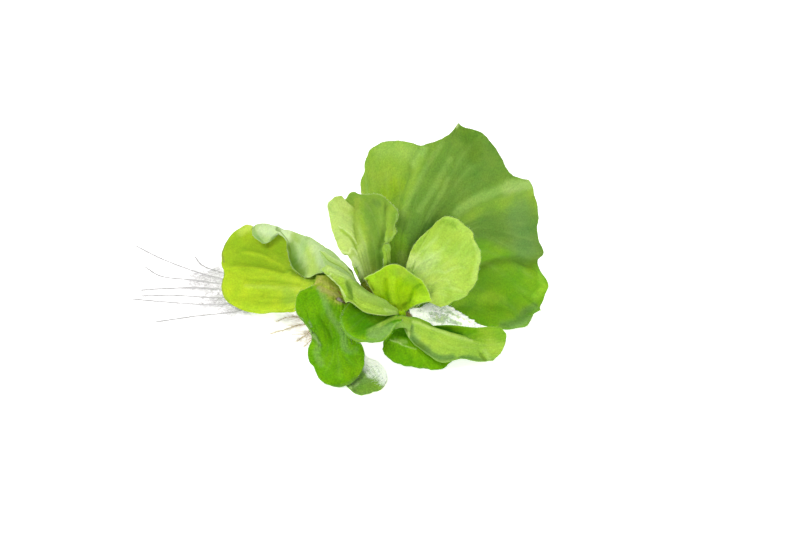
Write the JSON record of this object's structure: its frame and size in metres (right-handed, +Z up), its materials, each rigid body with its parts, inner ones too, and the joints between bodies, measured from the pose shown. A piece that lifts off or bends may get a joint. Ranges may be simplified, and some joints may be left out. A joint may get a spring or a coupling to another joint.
{
  "type": "water lettuce",
  "caption": "Floating water lettuce rosette lifted out and laid down: broad velvety ribbed green leaves around one crown, a short stem and thin feathery roots trailing sideways.",
  "frame": {"origin": "on the surface that the plant lies on, under the middle of its bounding box", "axes": "+X away from the trailing roots, towards the broad right leaves; +Y away from the side that the picture shows; +Z up"},
  "size_m": [0.2093, 0.1224, 0.1029],
  "materials": {
    "leaf_back": "velvety, mid green",
    "leaf_upper_left": "velvety, pale yellow-green",
    "leaf_right_inner": "velvety, light lime",
    "leaf_centre": "velvety, bright yellow-green",
    "leaf_left": "velvety, yellow-green, paler mint underside",
    "leaf_left_inner": "velvety, pale green",
    "leaf_front_left": "velvety, saturated green, decayed at its foot",
    "leaf_front": "velvety, deep green with a bluish felted lip",
    "leaf_front_right": "felted, lime green",
    "leaf_under_right": "velvety, saturated green",
    "leaf_under_front": "velvety, green under silvery hairs",
    "leaf_pale": "pale, crumpled and downy",
    "stem": "matt, olive-brown",
    "root_long": "matt, pale grey",
    "root_short": "matt, tan-brown"
  },
  "bodies": {
    "root": {"leaf_back": "leaf_back", "leaf_upper_left": "leaf_upper_left", "leaf_right_inner": "leaf_right_inner", "leaf_centre": "leaf_centre", "leaf_left": "leaf_left", "leaf_left_inner": "leaf_left_inner", "leaf_front_left": "leaf_front_left", "leaf_front": "leaf_front", "leaf_front_right": "leaf_front_right", "leaf_under_right": "leaf_under_right", "leaf_under_front": "leaf_under_front", "leaf_pale": "leaf_pale", "stem": "stem", "root_long_01": "root_long", "root_long_02": "root_long", "root_long_03": "root_long", "root_long_04": "root_long", "root_long_05": "root_long", "root_long_06": "root_long", "root_long_07": "root_long", "root_short_01": "root_short", "root_short_02": "root_short", "root_short_03": "root_short", "root_short_04": "root_short"}
  },
  "joints": []
}
